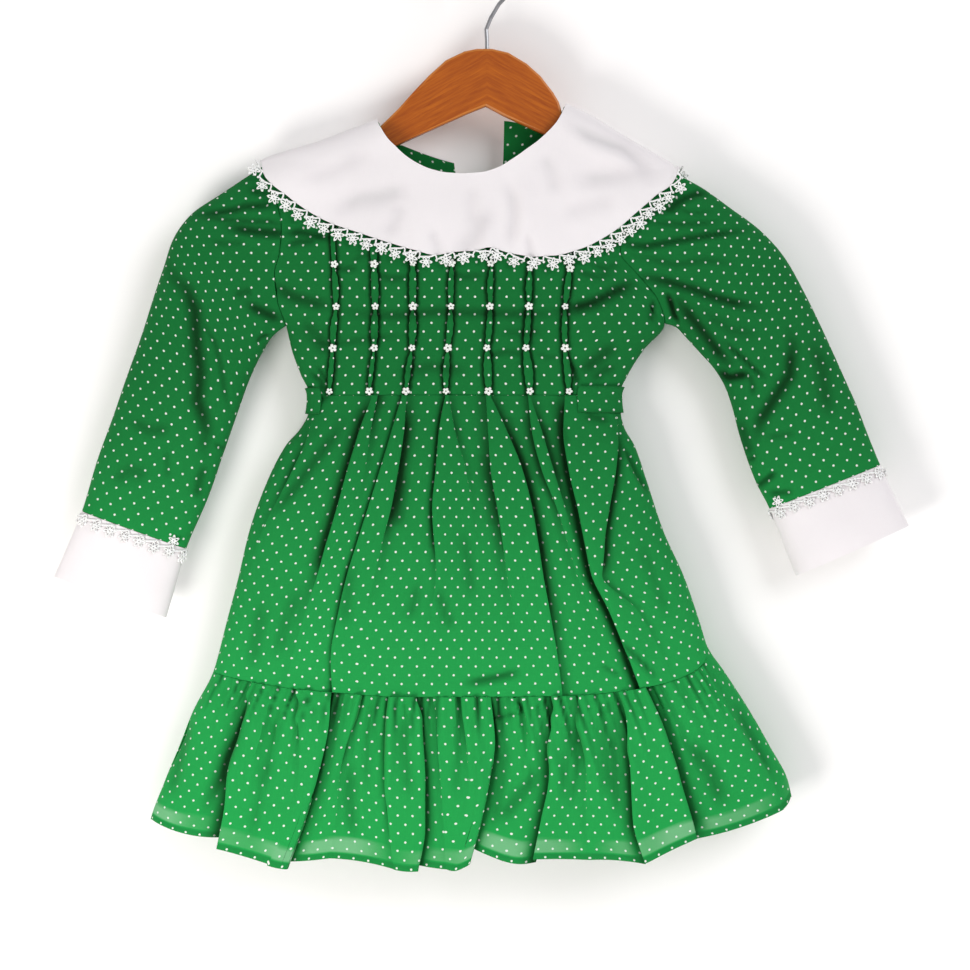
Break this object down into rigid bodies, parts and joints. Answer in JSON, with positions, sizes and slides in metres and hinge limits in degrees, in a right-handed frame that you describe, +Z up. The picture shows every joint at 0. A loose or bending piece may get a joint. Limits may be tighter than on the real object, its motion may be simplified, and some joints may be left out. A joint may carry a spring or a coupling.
{
  "type": "smocked dress on a wooden hanger",
  "caption": "Child's long-sleeved pin-dot dress hanging flat on a wooden hanger, with tucked and knotted bodice, white cape collar and cuffs edged in lace, and gathered hem ruffle.",
  "frame": {"origin": "inner top of the hanger's hook, where a rail or peg bears", "axes": "+Z up, the dress's front faces -Y, +X to the right as seen from the front"},
  "size_m": [0.6835, 0.0736, 0.7306],
  "materials": {
    "green_cotton": "plain-weave cotton with white pin dots",
    "white_cotton": "plain matte cotton, pressed",
    "crochet": "matte cotton thread",
    "button": "glossy white",
    "varnished_wood": "clear varnish",
    "steel_wire": "dull, darkened"
  },
  "bodies": {
    "root": {"bodice_front": "green_cotton", "bodice_back_left": "green_cotton", "bodice_back_right": "green_cotton", "sleeve_left": "green_cotton", "sleeve_right": "green_cotton", "skirt_front": "green_cotton", "skirt_back": "green_cotton", "ruffle_front": "green_cotton", "ruffle_back": "green_cotton", "sash_left": "green_cotton", "sash_right": "green_cotton", "collar": "white_cotton", "cuff_left": "white_cotton", "cuff_right": "white_cotton", "collar_lace": "crochet", "cuff_lace_left": "crochet", "cuff_lace_right": "crochet", "button_top": "button", "button_middle": "button", "button_low": "button", "hanger_wood": "varnished_wood", "hanger_hook": "steel_wire"}
  },
  "joints": []
}
